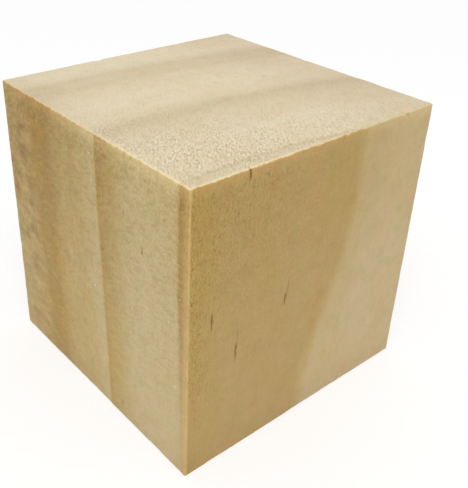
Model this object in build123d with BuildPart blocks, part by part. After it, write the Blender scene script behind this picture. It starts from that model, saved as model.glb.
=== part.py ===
from build123d import *
import os

# Plain wooden cube, 50 mm along each edge, of one piece of light softwood.
#
# A square stick is planed, so its long edges are slightly rounded. It is then sawn off as long
# as it is wide, and the sawn ends are sanded, which eases the edges round them a little less.
# The cube stands on one sawn end: the grain runs along Z, the top and the base are end grain,
# and the four upright faces are long grain. The origin is the middle of the base.

os.makedirs("parts", exist_ok=True)

# Driving sizes, in millimetres
edge_length = 50.0
long_edge_radius = 0.4
end_edge_radius = 0.25

with BuildPart() as wooden_cube:
    # The planed stick's section, centred on the origin, with its four corners rounded
    with BuildSketch(Plane.XY) as stick_section:
        Rectangle(edge_length, edge_length)
        fillet(stick_section.vertices(), radius=long_edge_radius)
    # Sawn off as long as it is wide
    extrude(amount=edge_length)
    # Both sawn ends are sanded, which rounds the edges all round them
    sawn_ends = wooden_cube.faces().filter_by(Axis.Z)
    fillet(sawn_ends.edges(), radius=end_edge_radius)

wooden_cube.part.label = "wooden_cube"
export_step(wooden_cube.part, "parts/wooden_cube.step")

size = wooden_cube.part.bounding_box().size
print(f"cube {size.X:.2f} x {size.Y:.2f} x {size.Z:.2f} mm")
print(f"volume {wooden_cube.part.volume:.0f} mm3, {len(wooden_cube.faces())} faces")
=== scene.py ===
# %% [markdown]
# The looks of a plain wooden cube.
#
# The real object is one block of pale, fast-grown softwood, 50 mm along each edge, planed,
# sawn and sanded, and left bare. A block of wood has few parts, so all of its character lies
# in three things: the growth rings and fibres that run through it, the slightly worn edges,
# and the few small flaws of this one block. This lesson makes them in that order.
#
# The cube itself was drawn beforehand at its real size. It comes in here as a fixed frame, and
# everything below is measured from it, in metres.

import math
from collections import namedtuple

import bmesh
import bpy
from mathutils import Matrix, Vector, noise


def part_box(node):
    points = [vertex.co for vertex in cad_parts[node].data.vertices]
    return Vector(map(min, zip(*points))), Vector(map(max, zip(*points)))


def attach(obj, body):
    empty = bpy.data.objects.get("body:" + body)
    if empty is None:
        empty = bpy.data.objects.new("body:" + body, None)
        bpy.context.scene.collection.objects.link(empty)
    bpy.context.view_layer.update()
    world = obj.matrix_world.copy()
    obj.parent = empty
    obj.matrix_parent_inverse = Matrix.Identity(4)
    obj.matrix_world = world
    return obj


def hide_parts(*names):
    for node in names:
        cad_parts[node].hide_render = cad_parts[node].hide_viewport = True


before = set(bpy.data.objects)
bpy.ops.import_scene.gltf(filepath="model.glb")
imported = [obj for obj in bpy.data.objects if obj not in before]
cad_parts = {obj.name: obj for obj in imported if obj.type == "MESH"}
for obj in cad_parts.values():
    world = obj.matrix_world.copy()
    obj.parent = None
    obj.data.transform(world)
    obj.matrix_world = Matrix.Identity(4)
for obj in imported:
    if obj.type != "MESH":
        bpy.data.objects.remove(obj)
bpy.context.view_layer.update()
MM = 0.001
cube_low, cube_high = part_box("wooden_cube")
cube_middle = (cube_low + cube_high) / 2
edge_length = cube_high.x - cube_low.x
print(f"the cube's edge is {edge_length / MM:.2f} mm, and its middle {cube_middle.z / MM:.2f} mm up")

# %% [markdown]
# The camera comes first: it stands where the photograph of the cube was taken.
#
# The photograph was taken from close by, a little more than two and a half edges away, so the
# upright edges lean together strongly towards the bottom. The place, the aim and the lens were
# worked out from the seven corners that show. The picture was cropped off centre, which the
# two shifts repeat.

# %% The camera
photo_width = 468
photo_height = 488
focal_length_pixels = 727.1
optical_centre_pixels = (201.3, 219.8)
camera_place = Vector((-74.4, -85.2, 90.3)) * MM
camera_aim = Vector((-1.1, 0.8, 25.9)) * MM
camera_roll = math.radians(1.6)
sensor_width = 36

lens = bpy.data.cameras.new("photo_camera")
lens.sensor_width = sensor_width
lens.lens = sensor_width * focal_length_pixels / photo_height
lens.shift_x = (photo_width / 2 - optical_centre_pixels[0]) / photo_height
lens.shift_y = (optical_centre_pixels[1] - photo_height / 2) / photo_height
lens.clip_start = 0.01
lens.clip_end = 20
camera = bpy.data.objects.new("photo_camera", lens)
bpy.context.scene.collection.objects.link(camera)
looking = (camera_aim - camera_place).to_track_quat("-Z", "Y").to_matrix().to_4x4()
camera.matrix_world = Matrix.Translation(camera_place) @ looking @ Matrix.Rotation(camera_roll, 4, "Z")
bpy.context.scene.camera = camera
print(f"lens {lens.lens:.1f} mm, shift {lens.shift_x:.3f} and {lens.shift_y:.3f}")

# %% [markdown]
# The block is sawn from a planed stick, so its four upright edges were rounded by the planer
# and the edges round both ends only by sanding paper.
#
# It could be one cube with a Bevel modifier. Here two bevel operators do it, one after the
# other, because the two kinds of edge have different radii.

# %% The block with its eased edges
upright_edge_radius = 0.4 * MM
end_edge_radius = 0.25 * MM
rounding_steps = 4


def is_upright(edge):
    first, second = edge.verts
    return abs(first.co.z - second.co.z) > edge_length / 2


def lies_on_an_end(edge):
    heights = [vertex.co.z for vertex in edge.verts]
    return max(heights) - cube_low.z < MM / 100 or cube_high.z - min(heights) < MM / 100


def round_over(mesh, edges, radius):
    bmesh.ops.bevel(
        mesh, geom=edges, offset=radius, offset_type="OFFSET", segments=rounding_steps,
        profile=0.5, affect="EDGES", material=-1,
    )


block = bmesh.new()
bmesh.ops.create_cube(block, size=edge_length, matrix=Matrix.Translation(cube_middle))
round_over(block, [edge for edge in block.edges if is_upright(edge)], upright_edge_radius)
round_over(block, [edge for edge in block.edges if lies_on_an_end(edge)], end_edge_radius)
print(f"the block has {len(block.faces)} faces")

# %% [markdown]
# The flaws of this one block, as a maker would note them down.
#
# The front face has a short split at its top edge and three resin canals that the plane cut
# open lengthwise: thin dark slits that follow the grain, two of them with a fainter slit that
# goes on upwards. The left face has two short ones. Each is given by how far it lies from the
# near upright edge, its middle height, its width, its length, how much it leans and how dark it
# is. They are listed before the mesh is cut, because all are coloured and the darker ones are
# carved too.

# %% The slits, in millimetres
Slit = namedtuple("Slit", "across height width length lean dark")
front_slits = [
    Slit(10.32, 49.3, 0.5, 2.9, 0.08, 1.0),
    Slit(4.52, 27.85, 0.5, 3.4, 0.0, 1.0),
    Slit(9.45, 20.1, 0.62, 4.8, 0.02, 0.8),
    Slit(9.52, 22.6, 0.4, 4.6, 0.02, 0.3),
    Slit(19.22, 25.35, 0.56, 3.0, 0.08, 0.85),
    Slit(19.45, 27.3, 0.45, 5.0, 0.11, 0.32),
]
left_slits = [
    Slit(14.75, 40.3, 0.4, 1.9, 0.0, 0.5),
    Slit(10.5, 36.05, 0.45, 1.9, 0.1, 0.65),
]
print(f"{len(front_slits)} marks along the grain on the front, {len(left_slits)} on the left")

# %% [markdown]
# Real wear and cracks need something to bend, so the flat faces are cut into a fine net.
#
# Subdividing would spread the cuts evenly, but the wear sits at the edges and the cracks are
# only a few tenths of a millimetre wide. Cutting with planes lets each cut lie where it is
# needed: close together at the edges, closer still across a crack, and wider elsewhere.

# %% Cuts for the net
edge_cuts = [0.55, 0.7, 0.9, 1.15, 1.45, 1.8, 2.2, 2.7, 3.3]
plain_spacing = 0.62
half_edge = edge_length / MM / 2
slit_cut_shares = (-0.9, -0.5, -0.22, 0.0, 0.22, 0.5, 0.9)
carved_from = 0.5
cut_tolerance = 1e-7


def net_positions():
    """Distances from the block's middle, in millimetres, crowded towards both sides."""
    inner_half = half_edge - edge_cuts[-1]
    inner_count = round(2 * inner_half / plain_spacing)
    inner = [-inner_half + 2 * inner_half * n / inner_count for n in range(inner_count + 1)]
    outer = [half_edge - cut for cut in edge_cuts[:-1]]
    return sorted(inner + outer + [-place for place in outer])


def slit_positions(slits):
    """Cuts across each slit that is dark enough to be carved."""
    return [
        slit.across - half_edge + share * slit.width
        for slit in slits
        if slit.dark > carved_from
        for share in slit_cut_shares
    ]


def cut_net(mesh, axis, positions):
    direction = Vector((0, 0, 0))
    direction[axis] = 1
    for place in positions:
        everything = mesh.verts[:] + mesh.edges[:] + mesh.faces[:]
        bmesh.ops.bisect_plane(
            mesh, geom=everything, dist=cut_tolerance,
            plane_co=cube_middle + direction * place * MM, plane_no=direction,
        )


cut_net(block, 0, net_positions() + slit_positions(front_slits))
cut_net(block, 1, net_positions() + slit_positions(left_slits))
cut_net(block, 2, net_positions())
print(f"the net has {len(block.faces)} faces")

# %% [markdown]
# Where the tree stood.
#
# The rings on the three faces in the photograph fit one trunk: its centre lies 144 mm in front
# of the block's middle and 17 mm to the left, and the trunk bends a little on its way up. A
# ring is then a set of points at one distance from that centre, which gives bands on the end
# grain, stripes on the left face and one broad slanting band on the front, all joined up at
# the edges. One ring, for instance, begins with pale wood 122 mm from the centre and ends dark
# almost 20 mm farther out.

# %% The rings, in millimetres from the tree's centre
tree_centre_x = -17
tree_centre_y = -144.2
tree_bend = 1.57
bend_top = 44.5
ring_edges = [122.0, 141.3, 162.2]


def smooth(value, start, end):
    """0 before start, 1 after end, and a smooth rise in between."""
    share = min(1, max(0, (value - start) / (end - start)))
    return share * share * (3 - 2 * share)


def distance_from_tree_centre(x, y, z):
    """Takes millimetres in the cube's own frame."""
    bend = tree_bend * (1 - smooth(z, 0, bend_top))
    return math.hypot(x - tree_centre_x, y - tree_centre_y + bend)


def ring_share(radius):
    """How far a point lies through its ring, from 0 at the pale start to 1 at the dark end."""
    starts = [ring_edges[0] - 20] + ring_edges
    ends = ring_edges + [ring_edges[-1] + 20]
    for start, end in zip(starts, ends):
        if radius < end:
            return (radius - start) / (end - start)
    return 0.0


near_corner_radius = distance_from_tree_centre(-half_edge, -half_edge, 2 * half_edge)
print(f"the near top corner was {near_corner_radius:.1f} mm from the tree's centre")

# %% [markdown]
# Shaping by hand, in code.
#
# Sanding leaves a block a little low near its edges, leaves the hard dark wood a few
# hundredths of a millimetre proud of the soft pale wood, and rubs the edges unevenly. A
# sculptor would brush this on. Here each vertex of the net is moved inwards by the sum of
# those depths, so the block never grows beyond its measured size.

# %% Depths of the wear
sanded_low = 0.04
sanded_reach = 3.5
wave_depth = 0.03
soft_wood_depth = 0.025
ring_play = 0.8
edge_wear_depth = 0.08
edge_wear_reach = 0.55


def sway(point, size, seed):
    """Soft noise from 0 to 1, with hollows about as wide as size."""
    moved = Vector((point[0] / size + seed, point[1] / size - seed, point[2] / size + 2 * seed))
    return 0.5 + 0.5 * noise.noise(moved)


def wear_depth(x, y, z):
    distances = sorted((half_edge - abs(x), half_edge - abs(y), min(z, 2 * half_edge - z)))
    from_edge = distances[1]
    point = (x, y, z)
    low_near_edge = sanded_low * (1 - smooth(from_edge, 0, sanded_reach))
    waves = wave_depth * sway(point, size=17, seed=3.1)
    ring_shift = ring_play * (sway(point, size=14, seed=8.7) - 0.5)
    radius = distance_from_tree_centre(x, y, z) + ring_shift
    soft_wood = soft_wood_depth * (1 - smooth(ring_share(radius), 0.55, 0.95))
    uneven = 0.6 * sway(point, size=3.7, seed=1.3) + 0.4 * sway(point, size=1.1, seed=5.9)
    beside_edge = 1 - smooth(from_edge, 0.1, edge_wear_reach)
    rubbed = edge_wear_depth * smooth(uneven, 0.4, 0.85) * beside_edge
    return low_near_edge + waves + soft_wood + rubbed


# %% [markdown]
# Nicks are small bites out of an edge. Each is a soft round dent about a point on that edge,
# in millimetres in the cube's frame, with a radius and a depth.

# %% Nicks
nicks = [
    ((-25.0, -22.4, 50.0), 0.5, 0.22),
    ((18.6, -25.0, 50.0), 0.8, 0.3),
    ((20.4, -25.0, 50.0), 0.5, 0.14),
    ((-14.7, -25.0, 50.0), 0.35, 0.2),
    ((-25.0, 12.5, 50.0), 0.8, 0.12),
    ((-25.0, -3.4, 50.0), 0.6, 0.1),
    ((-25.0, -25.0, 27.6), 0.5, 0.08),
    ((-25.0, -25.0, 13.2), 0.6, 0.06),
    ((4.5, -25.0, 50.0), 0.6, 0.08),
    ((25.0, 25.0, 42.0), 0.7, 0.16),
    ((25.0, 3.0, 50.0), 0.6, 0.1),
    ((-6.0, 25.0, 50.0), 0.6, 0.1),
    ((9.0, 25.0, 0.0), 0.8, 0.2),
    ((-25.0, 25.0, 18.0), 0.6, 0.08),
    ((25.0, 11.0, 0.0), 0.7, 0.16),
]


def nick_depth(x, y, z):
    depth = 0
    for centre, radius, bite in nicks:
        apart = math.dist((x, y, z), centre)
        if apart < 2 * radius:
            depth = max(depth, bite * (1 - smooth(apart, 0.3 * radius, 1.6 * radius)))
    return depth


print(f"{len(nicks)} nicks")

# %% [markdown]
# The slits are carved as shallow grooves, and the planer tore the fibres beside the near
# upright edge. Each counts only for the points within a short way of its own face.

# %% Slit and torn fibre depths
skin = 0.6
slit_depth_at_darkest = 0.3
torn_depth = 0.06
torn_height = 28
torn_reach = 11
torn_width = 3.2
torn_ridges = 7


def slit_depth(slits, across, z):
    """A slit is deepest along its middle line and fades towards both ends."""
    depth = 0
    for slit in slits:
        if slit.dark > carved_from:
            middle_line = slit.across + slit.lean * (z - slit.height)
            aside = abs(across - middle_line) / (slit.width / 2)
            along = abs(z - slit.height) / (slit.length / 2)
            if aside < 1.6 and along < 1:
                fading = (1 - smooth(aside, 0.1, 1.5)) * (1 - smooth(along, 0.35, 1))
                depth = max(depth, slit_depth_at_darkest * slit.dark * fading)
    return depth


def torn_fibre_depth(x, y, z):
    """Short upright ridges beside the near edge of the front, where the plane lifted the grain."""
    if y > -half_edge + skin:
        return 0
    across = x + half_edge
    by_height = 1 - smooth(abs(z - torn_height), 0.5 * torn_reach, torn_reach)
    by_width = 1 - smooth(across, 1.5, torn_width)
    ridges = sway((x * torn_ridges, y, z), size=1.9, seed=4.4)
    return torn_depth * by_height * by_width * ridges


deepest = 0
block.normal_update()
inward = {vertex: -vertex.normal for vertex in block.verts}
for vertex, direction in inward.items():
    x, y, z = vertex.co / MM
    depth = wear_depth(x, y, z) + nick_depth(x, y, z) + torn_fibre_depth(x, y, z)
    if y < -half_edge + skin:
        depth += slit_depth(front_slits, x + half_edge, z)
    if x < -half_edge + skin:
        depth += slit_depth(left_slits, y + half_edge, z)
    vertex.co += direction * depth * MM
    deepest = max(deepest, depth)
print(f"the deepest hollow is {deepest:.2f} mm")

# %% [markdown]
# The net becomes the piece. It is smooth shaded, because its edges are truly rounded, and it
# stands in for the plain cube of the frame.

# %% The piece
for face in block.faces:
    face.smooth = True
mesh = bpy.data.meshes.new("softwood_block")
block.to_mesh(mesh)
block.free()
softwood_block = bpy.data.objects.new("softwood_block", mesh)
bpy.context.scene.collection.objects.link(softwood_block)
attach(softwood_block, "root")
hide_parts("wooden_cube")
mesh.calc_loop_triangles()
print(f"the piece has {len(mesh.loop_triangles)} triangles")

# %% [markdown]
# The wood is a solid pattern: its colour depends on the point in the block and not on the
# face, as in real wood, so a ring that leaves one face goes on at the next.
#
# The pattern is a network of nodes, and small helpers keep it readable. A Coat is a colour that
# grows in layers: each layer stains it or paints over it, as far as the layer's mask says.

# %% Helpers that add nodes
wood = bpy.data.materials.new("bare_softwood")
wood.use_nodes = True
nodes = wood.node_tree.nodes
nodes.clear()


def feed(socket, source):
    """Joins a socket to another node's result, or sets it to a plain value."""
    if isinstance(source, bpy.types.NodeSocket):
        socket.id_data.links.new(source, socket)
    else:
        socket.default_value = source


def add_node(kind, label="", **settings):
    """The kind is the type's name without ShaderNode in front."""
    made = nodes.new("ShaderNode" + kind)
    made.label = label
    for name, value in settings.items():
        setattr(made, name, value)
    return made


def so_far(made):
    print(f"{made}: {len(nodes)} nodes so far")


# %% Helpers for sums
def worked_out(operation, *values):
    made = add_node("Math", operation=operation)
    for socket, value in zip(made.inputs, values):
        feed(socket, value)
    return made.outputs[0]


def minus(value, taken_off):
    return worked_out("SUBTRACT", value, taken_off)


def product(first, *others):
    result = first
    for other in others:
        result = worked_out("MULTIPLY", result, other)
    return result


def scaled(value, factor, added):
    """The value times the factor, and then something added."""
    return worked_out("MULTIPLY_ADD", value, factor, added)


def fade(label, value, start, end, low=0.0, high=1.0):
    """Rises smoothly from low to high while the value goes from the start to the end."""
    made = add_node("MapRange", label, interpolation_type="SMOOTHSTEP")
    for socket, given in zip(made.inputs, (value, start, end, low, high)):
        feed(socket, given)
    return made.outputs[0]


# %% Helpers for points and noise
def stretched(vector, x, y, z):
    made = add_node("VectorMath", operation="MULTIPLY")
    feed(made.inputs[0], vector)
    feed(made.inputs[1], (x, y, z))
    return made.outputs[0]


def noise_in(vector, x, y, z, detail=2, roughness=0.5):
    """Soft noise from 0 to 1, finer along a direction the larger its x, y or z is."""
    placed = stretched(vector, x, y, z)
    made = add_node("TexNoise")
    feed(made.inputs["Vector"], placed)
    feed(made.inputs["Scale"], 1)
    feed(made.inputs["Detail"], detail)
    feed(made.inputs["Roughness"], roughness)
    return made.outputs[0]


def cells_in(vector, x, y, z):
    made = add_node("TexVoronoi")
    feed(made.inputs["Vector"], stretched(vector, x, y, z))
    feed(made.inputs["Scale"], 1)
    return made.outputs


def pushed(vector, push, x, y, z):
    """The vector moved to and fro by a noise, as far as half of x, y and z."""
    made = add_node("VectorMath", operation="ADD")
    feed(made.inputs[0], vector)
    either_way = minus(push, 0.5)
    feed(made.inputs[1], stretched(either_way, x, y, z))
    return made.outputs[0]


def turned_about(vector, axis, degrees):
    made = add_node("VectorRotate", rotation_type=axis)
    feed(made.inputs["Vector"], vector)
    feed(made.inputs["Angle"], math.radians(degrees))
    return made.outputs[0]


# %% Helpers for colours
def mixed(label, factor, first, second, blend="MIX"):
    made = add_node("Mix", label, data_type="RGBA", blend_type=blend)
    feed(made.inputs[0], factor)
    feed(made.inputs[6], first)
    feed(made.inputs[7], second)
    return made.outputs[2]


def seen_as(red, green, blue):
    """A colour as it looks on a screen, 0 to 255, turned into the light values the renderer uses."""
    light = [
        share / 12.92 if share < 0.04045 else ((share + 0.055) / 1.055) ** 2.4
        for share in (red / 255, green / 255, blue / 255)
    ]
    return (*light, 1)


class Coat:
    """A colour built up in layers, each laid on as far as its mask says, from 0 to 1."""

    def __init__(self, colour):
        self.colour = colour

    def stain(self, label, mask, stain):
        """Lets through only the stain's share of each of red, green and blue."""
        self.colour = mixed(label, mask, self.colour, (*stain, 1), blend="MULTIPLY")

    def paint(self, label, mask, colour):
        self.colour = mixed(label, mask, self.colour, colour)


# %% [markdown]
# A point's place in the tree.
#
# The object's own coordinates are turned into the tree's: how far out from its centre, how far
# round it, and how high. A little slow noise on the first keeps the rings from being perfect
# circles.

# %% The point, in millimetres, and in the tree
ring_unevenness = 1.4
coordinates = add_node("TexCoord", "coordinates")
point = stretched(coordinates.outputs["Object"], 1 / MM, 1 / MM, 1 / MM)
split = add_node("SeparateXYZ", "x y z")
feed(split.inputs[0], point)
x, y, z = split.outputs
ring_sway = noise_in(point, 0.07, 0.07, 0.03)
out_x = minus(x, tree_centre_x)
bend = fade("bend", z, bend_top, 0, tree_centre_y, tree_centre_y - tree_bend)
out_y = minus(y, bend)
squares = worked_out("MULTIPLY", out_x, out_x)
squares = scaled(out_y, out_y, squares)
true_radius = worked_out("SQRT", squares)
swayed = scaled(ring_sway, ring_unevenness, -ring_unevenness / 2)
radius = worked_out("ADD", true_radius, swayed)
turn = worked_out("ARCTAN2", out_x, out_y)
around = worked_out("MULTIPLY", turn, ring_edges[1])
joined = add_node("CombineXYZ", "in the tree")
for socket, part in zip(joined.inputs, (radius, around, z)):
    feed(socket, part)
in_tree = joined.outputs[0]
so_far("the point")

# %% [markdown]
# Which face a point is on, and how near an edge.
#
# The end grain is paler and cooler than the long grain, partly in its own colour and partly
# by a painted sheen of the light from above on the top. The masks for that are worked out from
# the distances to the six faces: the nearest tells the face, the second nearest the distance to
# an edge. One more tells how near the near top corner is, where the sanding left the surface
# crispest and every mark stands out more.

# %% Masks for end grain, edges and the near corner
near_corner = (-half_edge, -half_edge, 2 * half_edge)
to_x_side = minus(half_edge, worked_out("ABSOLUTE", x))
to_y_side = minus(half_edge, worked_out("ABSOLUTE", y))
to_top = minus(2 * half_edge, z)
to_end = worked_out("MINIMUM", z, to_top)
to_side = worked_out("MINIMUM", to_x_side, to_y_side)
far_side = worked_out("MAXIMUM", to_x_side, to_y_side)
end_lead = minus(to_side, to_end)
raggedness = noise_in(point, 1.5, 1.5, 1.5, detail=3, roughness=0.65)
end_lead = minus(end_lead, 0.43)
end_grain = fade("end grain", scaled(raggedness, 0.9, end_lead), -0.08, 0.12)
nearer = worked_out("MAXIMUM", to_side, to_end)
from_edge = worked_out("MINIMUM", nearer, far_side)
from_left = worked_out("ADD", x, half_edge)
from_front = worked_out("ADD", y, half_edge)
corner_offset = add_node("VectorMath", "from the near top corner", operation="DISTANCE")
feed(corner_offset.inputs[0], point)
feed(corner_offset.inputs[1], near_corner)
from_corner = corner_offset.outputs["Value"]
crisp = fade("crisp", from_corner, 40, 3, 0.32)
so_far("masks")

# %% [markdown]
# Ring colours.
#
# In each ring the wood grown in spring is pale and the wood grown in autumn is darker. It
# darkens slowly outwards and stops at once where the next spring begins. Each pair below is a
# distance from the tree's centre and how dark the wood is there, from 0 for pale to 1 for
# dark. The end grain and the long grain show the same rings with different shading, so each
# has its own pairs. A wave texture would be quicker, but its rings would all be alike.

# %% How dark each ring is
ramp_start = 114.0
ramp_end = 178.0
change_over = 0.28
first_edge, second_edge, third_edge = ring_edges
long_grain_shades = [
    (ramp_start, 0.8), (119.0, 0.74), (120.6, 0.68), (first_edge - change_over, 0.72),
    (first_edge + change_over, 0.08), (123.8, 0.0), (126.5, 0.0), (130.0, 0.0), (134.0, 0.08),
    (136.0, 0.26), (138.0, 0.5), (140.0, 0.7), (second_edge - change_over, 0.84),
    (second_edge + change_over, 0.02), (144.0, 0.14), (148.0, 0.4), (150.5, 0.42), (153.0, 0.6),
    (156.0, 1.0), (159.5, 1.0), (third_edge - 0.8, 0.8), (166.0, 0.66), (170.0, 0.55), (ramp_end, 0.5),
]
end_grain_shades = [
    (ramp_start, 0.5), (119.0, 0.46), (first_edge - 0.9, 0.56), (first_edge - 0.2, 1.0),
    (first_edge + 0.5, 0.12), (130.0, 0.0), (132.0, 0.26), (136.0, 0.34), (138.0, 0.62),
    (139.6, 0.9), (second_edge - 0.5, 1.0), (second_edge + 1.2, 0.42), (144.3, 0.08), (150.0, 0.0),
    (152.5, 0.2), (155.5, 0.36), (157.5, 0.8), (third_edge - 0.5, 0.9), (third_edge + 1.1, 0.38),
    (165.4, 0.06), (169.5, 0.08), (ramp_end, 0.4),
]


# %% Rings as colour ramps
def ring_ramp(label, shades):
    made = add_node("ValToRGB", label)
    steps = made.color_ramp.elements
    ramp_length = ramp_end - ramp_start
    for place, shade in shades:
        step = steps.new((place - ramp_start) / ramp_length)
        step.color = (shade, shade, shade, 1)
    steps.remove(steps[0])
    steps.remove(steps[-1])
    feed(made.inputs[0], scaled(radius, 1 / ramp_length, -ramp_start / ramp_length))
    return made.outputs[0]


long_dark = ring_ramp("autumn wood, long grain", long_grain_shades)
end_dark = ring_ramp("autumn wood, end grain", end_grain_shades)
pale_long_grain = seen_as(207, 188, 145)
dark_long_grain = seen_as(182, 152, 95)
# The end grain's colours hold a painted sheen: paler and cooler than the wood alone, as if lit from
# above.
pale_end_grain_with_sheen = seen_as(222, 208, 177)
dark_end_grain_with_sheen = seen_as(205, 189, 155)
long_coat = Coat(mixed("long grain", long_dark, pale_long_grain, dark_long_grain))
end_coat = Coat(mixed("end grain", end_dark, pale_end_grain_with_sheen, dark_end_grain_with_sheen))
so_far("rings")

# %% [markdown]
# The grain of the long sides.
#
# Fibres run up the tree, so their noise is stretched along z. Rays run out from the centre, so
# theirs is stretched along the radius: the same noise gives flecks on the left face, which is
# cut along the radius, and short ticks on the front, which is cut across it. Lines drawn on
# each face would be simpler, but would stop at the edges. Both are therefore worked out in the
# tree's coordinates, and a slower noise bends them, because no two fibres are quite parallel.
# The sides that the photograph doesn't show have long soft streaks as well.

# %% The bent grain, and which side a point is on
bending = noise_in(point, 0.5, 0.5, 0.25)
grain = pushed(in_tree, bending, 1.2, 1.2, 2.2)
on_left_face = fade("on the left face", from_left, 0.6, 0.3)
on_front_face = fade("on the front face", from_front, 0.6, 0.3)
either_face = worked_out("MAXIMUM", on_left_face, on_front_face)
hidden_side = minus(1.0, either_face)
fewer_hidden = scaled(hidden_side, -0.65, 1.0)
so_far("grain and sides")

# %% Streaks, fibres, ticks and rays
long_streaks = noise_in(grain, 0.8, 0.8, 0.025, detail=3, roughness=0.6)
streak_marks = product(fade("dark streaks", long_streaks, 0.46, 0.7), hidden_side)
long_coat.stain("long streaks", streak_marks, (0.88, 0.85, 0.77))
near_top_left = product(on_left_face, fade("near the top", to_top, 9, 2, 0.0, 1.3))
marked = worked_out("MAXIMUM", crisp, near_top_left)

fibres = noise_in(grain, 2.4, 2.4, 0.22, detail=4, roughness=0.7)
dark_fibres = fade("dark fibres", fibres, 0.45, 0.7)
fibre_marks = product(dark_fibres, scaled(crisp, 0.3, 0.2))
long_coat.stain("fibres", fibre_marks, (0.9, 0.87, 0.78))

ticks = noise_in(grain, 3.2, 3.2, 1.7, detail=3, roughness=0.65)
tick_marks = product(fade("dark ticks", ticks, 0.48, 0.7), marked)
long_coat.stain("ticks", tick_marks, (0.86, 0.82, 0.72))
pale_share = scaled(near_top_left, 0.3, 0.3)
pale_ticks = product(fade("pale ticks", ticks, 0.46, 0.28), marked, pale_share)
long_coat.paint("pale ticks", pale_ticks, seen_as(222, 205, 165))

rays = noise_in(grain, 0.5, 2.2, 2.7, detail=3, roughness=0.65)
ray_marks = product(fade("dark rays", rays, 0.52, 0.7), marked, 0.9)
long_coat.stain("rays", ray_marks, (0.88, 0.85, 0.76))
so_far("fibres, ticks and rays")

# %% [markdown]
# Outside the third ring edge the wood is stained in soft dark blotches with pale wood between
# them, and small upright tears of a darker brown lie mostly outside the second. The high places
# of one noise are the blotches and its low places the pale wood, so the two never overlap.

# %% Blotches and tears
blotches = noise_in(in_tree, 0.3, 0.3, 0.52)
outer_wood = fade("outer wood", radius, third_edge - 2, third_edge + 0.5)
outer_share = scaled(outer_wood, 0.85, 0.15)
above_base = fade("stronger upwards", z, 8, 34, 0.55)
blotch_height = product(above_base, fade("not at the top", to_top, 3, 8, 0.5))
dark_blotches = fade("dark blotches", blotches, 0.45, 0.72)
blotch_mask = product(dark_blotches, outer_share, fewer_hidden, blotch_height)
long_coat.stain("blotches", blotch_mask, (0.74, 0.71, 0.69))
between = fade("between blotches", blotches, 0.48, 0.26)
pale_blotches = product(between, outer_wood, fewer_hidden, blotch_height, 0.45)
long_coat.paint("pale blotches", pale_blotches, seen_as(214, 194, 156))

tears = noise_in(grain, 0.9, 0.8, 0.3)
tear_place = fade("past the second edge", radius, 141, 144, 0.2)
tear_mask = product(fade("dark tears", tears, 0.52, 0.8), tear_place, 0.7)
long_coat.stain("tears", tear_mask, (0.86, 0.82, 0.72))
so_far("blotches and tears")

# %% [markdown]
# On the left face the saw left soft ripples that slant across the grain, pale along their tops.
# The point is turned a little before the noise reads it, which slants them.

# %% Saw ripples
ripple_slant = -16
slanted = turned_about(grain, "Y_AXIS", ripple_slant)
ripples = noise_in(slanted, 0.5, 0.8, 1.7, detail=3, roughness=0.6)
dark_ripples = fade("dark ripples", ripples, 0.46, 0.72)
ripple_mask = product(dark_ripples, on_left_face, fade("upwards", z, 5, 40, 0.45))
long_coat.stain("ripples", ripple_mask, (0.88, 0.85, 0.77))
ripple_tops = product(fade("pale ripples", ripples, 0.46, 0.26), on_left_face, 0.3)
long_coat.paint("pale ripples", ripple_tops, seen_as(216, 193, 145))
so_far("ripples")

# %% [markdown]
# Wood is never of one hue. Pale wood is cooler on the front, except where its ring begins, and
# wide patches are slightly warmer, greener or pinker. Half-dark wood is yellower, the dark wood
# of the left face is more orange in places, and the last wood before the third ring edge is
# browner. Each is a stain, which multiplies, so the fibres under it still show.

# %% Tints of the long grain
cooler_front = product(on_front_face, fade("pale wood", long_dark, 0.3, 0.0))
long_coat.stain("cooler pale wood", cooler_front, (1.0, 0.995, 1.055))
warm_heights = fade("above the base", z, 8, 40)
warm_start = product(cooler_front, warm_heights, fade("ring's start", radius, 125, 122))
long_coat.stain("warmer first pale wood", warm_start, (0.94, 0.93, 0.86))

clouds = noise_in(point, 0.11, 0.11, 0.07)
long_coat.stain("clouds", fade("warm or cool", clouds, 0.38, 0.62), (1.0, 0.985, 0.93))
tints = noise_in(point, 0.32, 0.32, 0.24, roughness=0.55)
green_places = fade("green places", tints, 0.51, 0.68)
pink_places = fade("pink places", tints, 0.49, 0.32)
green_tint = product(green_places, fewer_hidden)
pink_tint = product(pink_places, fewer_hidden)
long_coat.stain("greenish", green_tint, (0.96, 0.995, 0.93))
long_coat.stain("pinkish", pink_tint, (1.01, 0.955, 0.955))

not_pale = fade("more than pale", long_dark, 0.0, 0.35)
half_dark = product(not_pale, fade("less than dark", long_dark, 1.0, 0.6))
long_coat.stain("yellower half-dark wood", half_dark, (1.0, 0.992, 0.91))
orange_patches = noise_in(point, 0.26, 0.26, 0.13)
orange_places = fade("orange places", orange_patches, 0.44, 0.6)
inside_third_edge = fade("inside the third edge", radius, third_edge + 1, third_edge - 1)
orange_mask = product(orange_places, long_dark, on_left_face, inside_third_edge)
long_coat.stain("oranger dark wood", orange_mask, (1.045, 1.0, 0.86))
late_start = fade("late wood's start", radius, 155.2, 157)
late_wood = product(late_start, fade("late wood's end", radius, 161.6, 159.6))
long_coat.stain("late wood", late_wood, (0.94, 0.94, 0.86))
so_far("tints")
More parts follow.
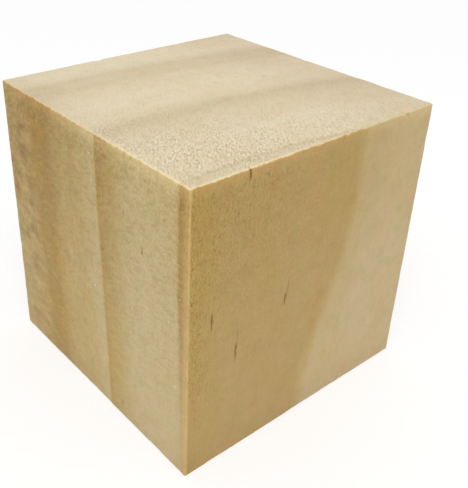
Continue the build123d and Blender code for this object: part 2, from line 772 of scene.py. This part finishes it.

# %% [markdown]
# Beside the near upright edge the planer tore the grain of the front face: fine upright marks,
# dark in the hollows and pale on the ridges, with the wood yellower for a few millimetres. Dark
# specks lie near that edge and near the top corner. On the left face the same edge shows a
# narrow strip of darker, redder wood, the last of the ring inside, which grows lighter towards
# the edge itself, with a painted highlight along the edge.

# %% Torn grain
torn_middle = 31
torn_marks = noise_in(grain, 6.0, 6.0, 0.95, roughness=0.6)
above_middle = minus(z, torn_middle)
torn_by_height = fade("torn heights", worked_out("ABSOLUTE", above_middle), 22, 5, 0.2, 1.0)
torn_here = product(on_front_face, fade("torn width", from_left, 4.2, 1.0), torn_by_height)
hollows = product(fade("in a hollow", torn_marks, 0.5, 0.68), torn_here)
long_coat.stain("torn hollows", hollows, (0.76, 0.68, 0.42))
pale_ridges = product(fade("on a ridge", torn_marks, 0.46, 0.3), torn_here, 0.35)
long_coat.paint("pale ridges", pale_ridges, seen_as(224, 196, 130))

# %% Specks near the edge and the corner
specks = noise_in(grain, 3.0, 3.0, 2.1, detail=1)
near_upright_edge = fade("near the edge", from_left, 8, 1)
speck_reach = worked_out("MAXIMUM", near_upright_edge, fade("corner", crisp, 0.6, 1.0))
fewer_on_left = fade("fewer on the left", from_front, 0.5, 1.5, 1.0, 0.35)
speck_place = product(speck_reach, fewer_on_left, fade("not low", z, 6, 20, 0.3))
speck_mask = product(fade("on a speck", specks, 0.59, 0.75), speck_place)
long_coat.stain("specks", speck_mask, (0.66, 0.57, 0.4))

# %% Yellower wood, and the strip on the left
yellow_width = fade("yellow width", from_left, 9, 0.8)
near_yellow = product(on_front_face, yellow_width, fade("upwards", z, 4, 26, 0.35))
long_coat.stain("yellower", near_yellow, (1.0, 0.985, 0.8))
strip_height = fade("strip height", z, 10, 40, 0.12)
strip_end = fade("strip end", from_front, 2.5, 1.9)
strip_width = product(strip_end, fade("lighter outwards", from_front, 0.2, 1.6, 0.3))
long_coat.stain("red strip", product(on_left_face, strip_width, strip_height), (0.9, 0.83, 0.7))
# A painted highlight: the strip is made lighter where the rounded edge would catch the light.
lit_width = fade("lit towards the edge", from_front, 1.7, 0.3)
strip_light = product(on_left_face, lit_width, fade("downwards", z, 48, 8, 0.3, 0.6))
long_coat.paint("lit strip", strip_light, seen_as(216, 188, 134))
so_far("the near upright edge")

# %% [markdown]
# The two faces in the photograph were cut differently, and differ a little: the front is
# browner than the left one. Both are warmer towards the upper end, where the dark wood of the
# left face also grows darker, and a painted shade makes both darker and duller near the base.
# The last millimetres below the top are lighter again, with orange patches on the dark wood,
# where the sander heated it.

# %% Colour by face and height
long_coat.stain("browner front", on_front_face, (0.955, 0.925, 0.88))
long_coat.stain("warm upwards", fade("upper warmth", z, 20, 50), (0.955, 0.935, 0.85))
dark_heights = fade("dark heights", z, 14, 46)
off_front = fade("not near the front", radius, 130, 137)
less_if_late = scaled(late_wood, -0.45, 0.25)
upper_dark = product(dark_heights, off_front, scaled(long_dark, 0.75, less_if_late))
long_coat.stain("darker upwards", upper_dark, (0.86, 0.82, 0.77))
# Painted shade: the lowest millimetres of both faces are darkened, as if the floor shaded them.
long_coat.stain("duller downwards", fade("lower shade", z, 9, 0), (0.965, 0.95, 0.965))

# %% The last millimetres below the top
end_glow = fade("lighter at the end", to_top, 2.6, 0.3)
glow_by_ring = scaled(long_dark, -0.2, 0.28)
near_left = product(on_left_face, fade("not far off", from_front, 36, 28))
glow = product(end_glow, glow_by_ring, scaled(near_left, 0.75, 0.6))
long_coat.paint("lighter end", glow, seen_as(240, 214, 156))
scorch_patches = noise_in(point, 0.55, 0.55, 0.8)
scorch_reach = minus(to_top, 1.7)
scorched_end = fade("scorched end", scaled(scorch_patches, 3.2, scorch_reach), 1.5, 0.2)
scorch = product(scorched_end, scaled(long_dark, 0.8, 0.1), 0.42)
long_coat.paint("scorched", scorch, seen_as(206, 150, 82))
so_far("colour by height")

# %% [markdown]
# End grain shows cut fibres: a fine grain of pits and pale tips, a third of a millimetre
# apart. Thin rays cross it outwards from the tree's centre, and the sanding disc left faint
# scratches across the whole end, with short streaks along them in patches near the corner. All
# of these fade away from the near corner.

# %% Where the end grain is crisp
crisp_patches = noise_in(point, 0.2, 0.2, 0.2, detail=1)
corner_reach = scaled(from_left, 0.55, from_front)
near_crisp = fade("crisp end", corner_reach, 32, 9, 0.15)
smoother_inside = fade("smoother in the inner ring", radius, 121.5, 122.3, 0.68)
patchy = fade("patches", crisp_patches, 0.36, 0.58, 0.55)
end_crisp = product(near_crisp, patchy, smoother_inside)
so_far("crisp places")

# %% Pits, tips and rays of the end grain
fibre_cells = cells_in(in_tree, 2.2, 2.5, 0.4)
which_cell = fibre_cells["Color"]
cell_core = fade("middle of a cell", fibre_cells["Distance"], 0.5, 0.12)
tips = noise_in(in_tree, 2.7, 3.4, 1.0, detail=3, roughness=0.62)
dark_cells = product(cell_core, fade("picked dark", which_cell, 0.56, 0.7), end_crisp, 0.4)
pale_cells = product(cell_core, fade("picked pale", which_cell, 0.42, 0.28), end_crisp, 0.36)
pit_mask = product(fade("dark pits", tips, 0.5, 0.32), end_crisp, 0.46)
tip_mask = product(fade("pale tips", tips, 0.5, 0.7), end_crisp, 0.35)
end_coat.stain("pits", pit_mask, (0.62, 0.57, 0.48))
end_coat.paint("tips", tip_mask, seen_as(248, 239, 216))
end_coat.stain("dark cells", dark_cells, (0.56, 0.5, 0.4))
end_coat.paint("pale cells", pale_cells, seen_as(250, 242, 222))
ray_lines = noise_in(in_tree, 0.2, 3.4, 0.05)
end_coat.stain("ray lines", fade("dark lines", ray_lines, 0.5, 0.75), (0.97, 0.965, 0.95))
so_far("cut fibres")

# %% Scratches and streaks
sanding_direction = -54
turned = turned_about(point, "Z_AXIS", sanding_direction)
scratches = noise_in(turned, 0.45, 2.6, 1.0, detail=3, roughness=0.6)
dark_scratches = fade("dark scratches", scratches, 0.48, 0.7)
scratch_marks = product(dark_scratches, fade("by reach", corner_reach, 44, 16, 0.45))
end_coat.stain("scratches", scratch_marks, (0.9, 0.89, 0.87))
streaks = noise_in(turned, 1.15, 3.4, 1.0, detail=3, roughness=0.62)
dark_streaks = product(fade("in a streak", streaks, 0.5, 0.7), end_crisp)
pale_streaks = product(fade("beside a streak", streaks, 0.48, 0.3), end_crisp, 0.8)
end_coat.stain("dark streaks", dark_streaks, (0.63, 0.575, 0.48))
end_coat.paint("pale streaks", pale_streaks, seen_as(246, 236, 212))
so_far("scratches")

# %% Tints and painted highlight rim of the end grain
end_coat.stain("end clouds", fade("cloudy", clouds, 0.36, 0.64), (0.985, 0.975, 0.94))
end_coat.stain("greenish end", green_places, (0.982, 0.997, 0.955))
end_coat.stain("pinkish end", pink_places, (1.003, 0.978, 0.972))
end_coat.stain("browner right", fade("to the right", x, 4, 20), (0.93, 0.905, 0.9))
beside_left = fade("beside the left edge", from_left, 7, 1)
far_left = product(beside_left, fade("towards the back", from_front, 12, 38))
end_coat.stain("browner far left", far_left, (0.945, 0.93, 0.92))
# The rim is a painted highlight: a cream line along the top's edges, strongest near the near corner.
rim_highlight_strength = fade("rim by corner", from_corner, 42, 4, 0.4, 0.65)
rim_sway = scaled(tips, 0.7, minus(from_edge, 0.35))
rim = product(fade("rim width", rim_sway, 0.75, 0.2), rim_highlight_strength)
nearer_rim = fade("nearer rim", from_corner, 40, 14)
rim_highlight_colour = mixed("rim colour", nearer_rim, seen_as(212, 186, 140), seen_as(240, 220, 174))
end_coat.paint("rim", rim, rim_highlight_colour)
so_far("tints and rim")

# %% [markdown]
# The two kinds of grain are joined, and a soft mottling lies over both. Mixing two finished
# coats by one mask keeps each of them simple, and the ragged edge of the mask hides the seam.

# %% Both kinds of grain
mottling = noise_in(point, 0.42, 0.42, 0.36, detail=3, roughness=0.6)
coat = Coat(mixed("end or long grain", end_grain, long_coat.colour, end_coat.colour))
coat.stain("darker mottling", fade("dark mottling", mottling, 0.5, 0.68), (0.968, 0.962, 0.93))
coat.stain("paler mottling", fade("pale mottling", mottling, 0.5, 0.32), (1.03, 1.031, 1.06))
so_far("both kinds of grain")

# %% [markdown]
# The edges round the top and the near upright edge are paler than the faces, partly because
# sanding and handling rub the brown surface off them and partly by a painted highlight where the
# rounded edge catches the light. The line reaches about a third of a millimetre onto each face
# and is broken where the edge wasn't touched. The edges round the base stay nearly as they are.

# %% Rubbed edges, and a painted highlight on them
edge_sway = noise_in(point, 0.8, 0.8, 0.8, detail=3, roughness=0.6)
round_top = fade("round the top", to_top, 1.0, 0.4)
edge_shift = scaled(round_top, -0.3, -0.2)
sway_share = scaled(round_top, 0.75, 0.4)
edge_place = scaled(edge_sway, sway_share, worked_out("ADD", from_edge, edge_shift))
worn_and_lit_edge = fade("rubbed edge", edge_place, 0.42, 0.14)
round_base = fade("round the base", z, 0.8, 0.4)
worn_and_highlight_colour = mixed("edge colour", round_top, seen_as(218, 186, 128), seen_as(236, 212, 160))
edge_breaks = noise_in(point, 0.45, 0.45, 0.3, detail=3, roughness=0.6)
very_edge = product(fade("at the very edge", from_edge, 0.25, 0.05), round_top, 0.4)
less_at_edge = minus(1.0, very_edge)
edge_strength = product(
    fade("where it was touched", edge_breaks, 0.4, 0.56, 0.3), less_at_edge,
    fade("less round the base", round_base, 0, 1, 0.85, 0.1),
    fade("less on the front", from_front, 0.3, 0.6, 0.65),
    fade("less below", z, 4, 30, 0.7), fade("less far off", from_corner, 24, 50, 1.0, 0.3),
)
# Paler edges: worn wood and a painted highlight together.
coat.paint("edges", product(worn_and_lit_edge, edge_strength), worn_and_highlight_colour)
so_far("edges")

# %% [markdown]
# The slits and spots are darker at the same places where the mesh is carved. Each is an
# ellipsoid of its own: a Mapping node of the Texture kind carries the point into a space where
# the spot is a ball of radius 1, and a spherical gradient rises from 0 at the ball's outline to
# 1 in its middle. A little noise on the point first makes the outline uneven.
#
# A length and a Map Range node for each would look the same, but the renderer can't take some
# fifty spots made that way: it draws the whole block black and says so only in its log. With
# gradients it takes three times as many.

# %% One spot
jitter = noise_in(point, 2.2, 2.2, 1.1)
jittered = pushed(point, jitter, 0.35, 0.35, 0.5)


def spot(label, centre, half_sizes, strength, turn, steepness=1.4):
    """The given strength in the middle of an ellipsoid, falling to 0 at its outline."""
    carried = add_node("Mapping", label, vector_type="TEXTURE")
    feed(carried.inputs["Vector"], jittered)
    feed(carried.inputs["Location"], centre)
    feed(carried.inputs["Rotation"], turn)
    feed(carried.inputs["Scale"], half_sizes)
    ball = add_node("TexGradient", label, gradient_type="SPHERICAL")
    feed(ball.inputs["Vector"], carried.outputs[0])
    rise = worked_out("MULTIPLY", ball.outputs["Fac"], steepness * strength)
    return worked_out("MINIMUM", rise, strength)


# %% [markdown]
# The spots of this block, by face. Each is its distance across the face, height, width, length
# and strength. On the top, the height is the distance from the front.

# %% Where the spots are
dark_spots = {
    "left": [
        (26.7, 33.2, 0.9, 3.4, 0.26), (26.5, 24.4, 1.1, 3.2, 0.22), (27.5, 18.4, 0.8, 3.2, 0.25),
        (16.7, 3.2, 0.8, 1.5, 0.4), (9.0, 39.0, 0.35, 0.5, 0.45), (1.6, 27.6, 0.5, 0.7, 0.5),
        (26.2, 39.5, 1.0, 2.4, 0.2), (29.0, 45.7, 0.7, 2.2, 0.32), (27.5, 13.3, 1.4, 2.2, 0.18),
        (32.0, 24.6, 2.6, 2.6, 0.22), (33.6, 35.5, 2.4, 1.8, 0.2), (32.0, 45.2, 2.0, 1.4, 0.22),
        (29.6, 41.6, 2.4, 1.2, 0.18), (25.9, 6.2, 1.2, 2.0, 0.2), (28.5, 29.3, 0.8, 2.2, 0.16),
        (44.5, 43.4, 3.2, 2.2, 0.3), (44.1, 38.3, 4.2, 2.4, 0.3), (46.5, 34.0, 3.4, 2.6, 0.2),
        (48.0, 30.9, 2.6, 2.6, 0.24), (43.6, 24.8, 2.6, 2.0, 0.32), (46.1, 21.9, 3.2, 2.2, 0.24),
        (43.2, 18.5, 3.2, 2.0, 0.26), (44.1, 15.8, 3.6, 2.4, 0.36), (45.7, 4.7, 4.6, 3.2, 0.24),
        (47.6, 46.5, 2.4, 3.0, 0.26), (2.5, 49.6, 0.5, 0.8, 0.6), (12.6, 49.5, 0.6, 0.7, 0.4),
        (14.2, 49.3, 0.5, 1.2, 0.45), (21.4, 49.6, 0.6, 0.6, 0.35),
    ],
    "front": [
        (10.35, 49.2, 0.42, 2.4, 0.45), (33.1, 37.4, 0.9, 0.3, 0.35), (7.8, 46.8, 0.4, 0.5, 0.4),
        (10.9, 47.1, 0.35, 0.5, 0.4), (19.4, 47.4, 0.5, 0.6, 0.3), (19.4, 41.9, 0.4, 0.4, 0.25),
        (14.0, 38.4, 0.4, 0.4, 0.25), (42.6, 11.9, 0.9, 0.5, 0.15), (3.8, 26.6, 0.3, 0.5, 0.4),
        (2.4, 24.4, 0.25, 0.6, 0.4), (43.7, 49.4, 1.0, 1.0, 0.4), (28.4, 49.5, 0.7, 0.6, 0.3),
        (24.0, 49.6, 0.5, 0.6, 0.35),
    ],
    "top": [
        (28.1, 28.0, 1.3, 1.5, 0.22), (32.8, 28.1, 1.3, 1.0, 0.25), (37.2, 25.8, 1.3, 1.0, 0.2),
        (43.2, 23.5, 1.1, 1.1, 0.22), (12.5, 7.5, 0.5, 0.5, 0.35), (14.2, 3.3, 0.5, 0.4, 0.35),
    ],
}
pale_spots = {
    "left": [
        (23.5, 23.2, 0.7, 0.5, 0.75), (8.0, 30.5, 0.4, 0.4, 0.75), (2.7, 16.6, 0.9, 0.4, 0.75),
        (4.2, 27.4, 0.4, 0.4, 0.75), (2.1, 21.5, 0.3, 0.3, 0.75), (6.0, 21.0, 0.35, 0.35, 0.75),
        (1.7, 32.7, 0.3, 0.3, 0.75), (5.2, 38.2, 0.3, 0.3, 0.75), (23.2, 46.4, 0.5, 0.6, 0.5),
        (24.4, 49.2, 2.6, 1.4, 0.14),
    ],
    "front": [
        (42.2, 49.6, 1.6, 0.8, 0.2), (48.2, 49.2, 3.0, 1.6, 0.1),
    ],
}


# %% Helpers that put a spot on a face
spot_depth = 0.9


def on_face(face, across, height):
    """A place on one of the three faces in view, and the spot's sizes along x, y and z."""
    if face == "front":
        return (across - half_edge, -half_edge, height), (0, 2, 1)
    if face == "left":
        return (-half_edge, across - half_edge, height), (2, 0, 1)
    return (across - half_edge, height - half_edge, 2 * half_edge), (0, 1, 2)


def spot_on(face, across, height, width, length, strength, turn=(0, 0, 0)):
    centre, order = on_face(face, across, height)
    half_sizes = (width / 2, length / 2, spot_depth)
    return spot(f"{face} spot", centre, tuple(half_sizes[place] for place in order), strength, turn)


def all_spots(spots_by_face):
    """The strongest spot at each point."""
    result = 0.0
    for face, places in spots_by_face.items():
        for place in places:
            result = worked_out("MAXIMUM", result, spot_on(face, *place))
    return result


# %% Slits and spots, laid on
def leaning(face, lean):
    """A slit leans within its own face, so it turns about the axis that stands off that face."""
    if face == "front":
        return (0, math.atan(lean), 0)
    return (-math.atan(lean), 0, 0)


slits = 0.0
for face, face_slits in (("front", front_slits), ("left", left_slits)):
    for slit in face_slits:
        across, height, width, length, lean, dark = slit
        mask = spot_on(face, across, height, width, length, dark, leaning(face, lean))
        slits = worked_out("MAXIMUM", slits, mask)
coat.stain("slits", slits, (0.42, 0.33, 0.18))
coat.stain("dark spots", all_spots(dark_spots), (0.5, 0.42, 0.27))
coat.paint("pale spots", all_spots(pale_spots), seen_as(238, 226, 190))
so_far("slits and spots")

# %% [markdown]
# The sides that the photograph doesn't show have resin canals too, at places that nobody
# knows. Cells of a Voronoi texture, stretched along the grain, scatter them: a dot where a
# sawn end crosses one, and a thin slit where a side lies along one.

# %% Resin canals elsewhere
canal_distance = cells_in(in_tree, 0.33, 0.33, 0.017)["Distance"]
canal_core = fade("canal", canal_distance, 0.05, 0.02)
away_from_front = fade("away from the front", from_front, 0.5, 1.0)
away_from_left = fade("away from the left", from_left, 0.5, 1.0)
away_from_top = fade("away from the top", to_top, 0.5, 1.0, 0.35)
canals = product(canal_core, away_from_front, away_from_left, away_from_top)
coat.stain("canals", canals, (0.5, 0.42, 0.27))
so_far("canals")

# %% [markdown]
# Bare sanded wood is matt, and the dense autumn wood a little smoother than the rest. The
# finest hollows, between fibres, are too small for the mesh, so a bump map gives them.

# %% The surface
specular_level = 0.3
surface = add_node("BsdfPrincipled", "bare wood")
feed(surface.inputs["Base Color"], coat.colour)
feed(surface.inputs["Specular IOR Level"], specular_level)
rough_by_ring = fade("smoother autumn wood", long_dark, 0.0, 1.0, 0.7, 0.6)
fine_fibres = noise_in(grain, 9, 9, 0.6)
roughness_floor = minus(rough_by_ring, 0.06)
feed(surface.inputs["Roughness"], scaled(fine_fibres, 0.12, roughness_floor))
so_far("sheen")

# %% The relief
relief_strength = 0.6
relief_height = 0.08 * MM
long_height = scaled(fibres, 0.7, product(fine_fibres, 0.3))
long_relief = product(long_height, scaled(crisp, 0.6, 0.4))
end_height = scaled(tips, 1.0, product(scratches, 0.4))
end_relief = product(end_height, scaled(near_crisp, 0.5, 0.5))
relief_mix = add_node("Mix", "relief", data_type="FLOAT")
for number, source in ((0, end_grain), (2, long_relief), (3, end_relief)):
    feed(relief_mix.inputs[number], source)
bump = add_node("Bump", "relief")
feed(bump.inputs["Strength"], relief_strength)
feed(bump.inputs["Distance"], relief_height)
feed(bump.inputs["Height"], scaled(slits, -1.5, relief_mix.outputs[0]))
feed(surface.inputs["Normal"], bump.outputs[0])
result = add_node("OutputMaterial", "result")
feed(result.inputs["Surface"], surface.outputs[0])
mesh.materials.append(wood)
print(f"the wood has {len(nodes)} nodes")

# %% [markdown]
# The studio: a pale floor, a white surround and soft light from above and in front.
#
# The background of the photograph is pure white. More light would bleach the wood, so the
# floor and the surround are white only to the camera and in reflections, while the light that
# they send to the wood stays moderate. The floor is part paint, which takes the cube's soft
# shadow, and turns fully white with distance.

# %% The floor
floor_size = 6
floor_mesh = bmesh.new()
bmesh.ops.create_grid(floor_mesh, x_segments=1, y_segments=1, size=floor_size)
floor_data = bpy.data.meshes.new("pale_floor")
floor_mesh.to_mesh(floor_data)
floor_mesh.free()
floor = bpy.data.objects.new("pale_floor", floor_data)
bpy.context.scene.collection.objects.link(floor)

# %% Helpers for the studio's nodes
floor_paint = bpy.data.materials.new("pale_floor")
floor_paint.use_nodes = True
surround = bpy.data.worlds.new("white_surround")
surround.use_nodes = True
bpy.context.scene.world = surround


def joined_up(tree, kind, inputs, **settings):
    """Adds a node to a tree and feeds its inputs, given by name or number."""
    made = tree.nodes.new("ShaderNode" + kind)
    for name, value in settings.items():
        setattr(made, name, value)
    for key, value in inputs.items():
        feed(made.inputs[key], value)
    return made


def seen_directly(tree):
    """1 for the camera's view and for what glossy or clear things show, 0 for light on the wood."""
    path = tree.nodes.new("ShaderNodeLightPath").outputs
    seen = path["Is Camera Ray"]
    for kind in ("Is Glossy Ray", "Is Transmission Ray"):
        either = joined_up(tree, "Math", {0: seen, 1: path[kind]}, operation="MAXIMUM")
        seen = either.outputs[0]
    return seen


# %% Paint for the floor
floor_grey = 0.74
seen_grey = 0.5
floor_lift = 0.52
white = (1, 1, 1, 1)
shadow_room = 0.10
white_from = 0.55

paint = floor_paint.node_tree
paint.nodes.clear()
floor_point = paint.nodes.new("ShaderNodeTexCoord").outputs["Object"]
reach = joined_up(paint, "VectorMath", {0: floor_point}, operation="LENGTH").outputs["Value"]
whiter = joined_up(
    paint, "MapRange", {0: reach, 1: shadow_room, 2: white_from, 3: 0.0, 4: 1.0},
    interpolation_type="SMOOTHSTEP",
)
matt = joined_up(paint, "BsdfDiffuse", {"Color": (floor_grey, floor_grey, floor_grey, 1)})
seen_matt = joined_up(paint, "BsdfDiffuse", {"Color": (seen_grey, seen_grey, seen_grey, 1)})
lift = joined_up(paint, "Emission", {"Color": white, "Strength": floor_lift})
plain_white = joined_up(paint, "Emission", {"Color": white, "Strength": 1.0})
lifted = joined_up(paint, "AddShader", {0: seen_matt.outputs[0], 1: lift.outputs[0]})
by_distance = joined_up(
    paint, "MixShader", {0: whiter.outputs[0], 1: lifted.outputs[0], 2: plain_white.outputs[0]},
)
chosen = joined_up(
    paint, "MixShader",
    {0: seen_directly(paint), 1: matt.outputs[0], 2: by_distance.outputs[0]},
)
joined_up(paint, "OutputMaterial", {"Surface": chosen.outputs[0]})
floor_data.materials.append(floor_paint)

# %% Light from the surround and the lamp
surround_level = 0.68
sky = surround.node_tree
sky.nodes.clear()
seen_sky = joined_up(sky, "Background", {"Color": white, "Strength": 1.0})
lights_up = joined_up(sky, "Background", {"Color": white, "Strength": surround_level})
either_sky = joined_up(
    sky, "MixShader", {0: seen_directly(sky), 1: lights_up.outputs[0], 2: seen_sky.outputs[0]},
)
joined_up(sky, "OutputWorld", {"Surface": either_sky.outputs[0]})


def soft_lamp(name, place, size, power):
    lamp = bpy.data.lights.new(name, "AREA")
    lamp.shape = "DISK"
    lamp.size = size
    lamp.energy = power
    holder = bpy.data.objects.new(name, lamp)
    bpy.context.scene.collection.objects.link(holder)
    aim = (cube_middle - Vector(place)).to_track_quat("-Z", "Y").to_matrix().to_4x4()
    holder.matrix_world = Matrix.Translation(place) @ aim


soft_lamp("key", place=(-0.45, -0.5, 0.95), size=0.7, power=6.0)
bpy.context.scene.view_settings.view_transform = "Standard"
